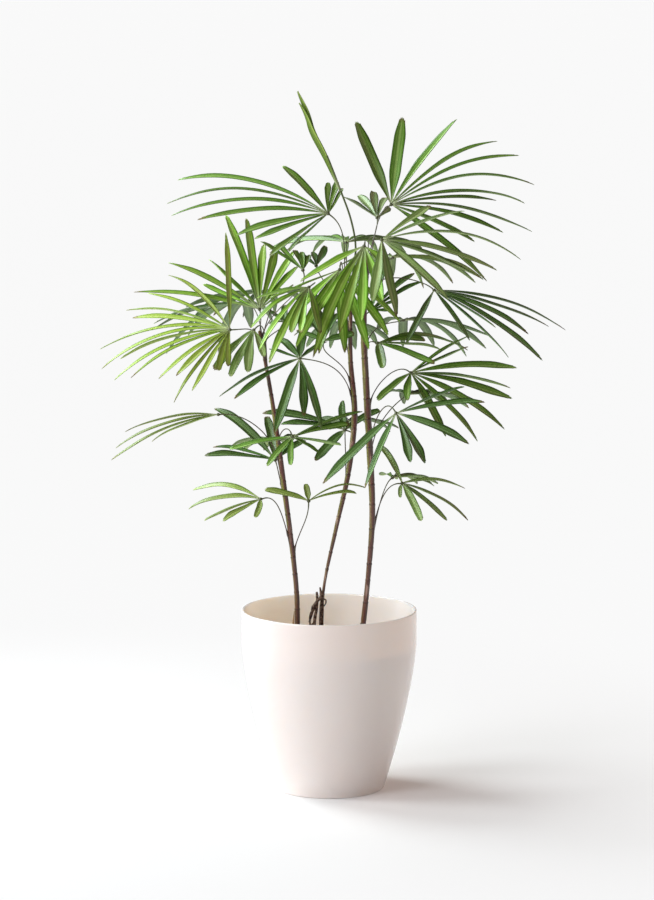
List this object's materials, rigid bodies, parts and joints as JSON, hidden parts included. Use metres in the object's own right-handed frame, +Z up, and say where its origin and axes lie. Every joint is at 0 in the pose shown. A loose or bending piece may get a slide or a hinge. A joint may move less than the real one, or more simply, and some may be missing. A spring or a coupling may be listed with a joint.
{
  "type": "potted palm",
  "caption": "Potted lady palm: slender leaning bare canes, fan fronds of narrow drooping leaflets on thin stalks, in a round tapering glossy pot.",
  "frame": {"origin": "middle of the pot's flat underside, at floor level", "axes": "+Z up along the pot's axis, -Y towards the front seen in the picture, +X to the right"},
  "size_m": [0.8116, 0.572, 1.2313],
  "materials": {
    "pot": "glossy cream white",
    "soil": "rough loose potting soil",
    "cane": "satin bark with leaf scar rings",
    "dead_wood": "dry and rough",
    "leaf": "satin green leaf"
  },
  "bodies": {
    "root": {"pot": "pot", "soil": "soil", "cane_left": "cane", "cane_middle": "cane", "cane_right": "cane", "old_stub": "dead_wood", "spear": "leaf", "frond_middle_1": "leaf", "frond_left_1": "leaf", "frond_left_2": "leaf", "frond_left_3": "leaf", "frond_right_1": "leaf", "frond_right_2": "leaf", "frond_right_3": "leaf", "frond_right_4": "leaf", "frond_right_5": "leaf", "frond_right_6": "leaf", "frond_right_7": "leaf", "frond_right_8": "leaf", "frond_right_9": "leaf", "frond_left_4": "leaf", "frond_left_5": "leaf", "frond_left_6": "leaf", "frond_left_7": "leaf", "frond_left_8": "leaf", "frond_middle_2": "leaf", "frond_middle_3": "leaf", "frond_left_9": "leaf", "frond_left_10": "leaf", "frond_middle_4": "leaf", "frond_right_10": "leaf", "frond_middle_5": "leaf", "frond_middle_6": "leaf", "frond_left_11": "leaf", "frond_middle_7": "leaf", "frond_right_11": "leaf", "frond_left_12": "leaf", "frond_right_12": "leaf", "frond_left_13": "leaf", "frond_middle_8": "leaf", "frond_right_13": "leaf", "frond_left_14": "leaf", "frond_middle_9": "leaf", "frond_right_14": "leaf"}
  },
  "joints": []
}
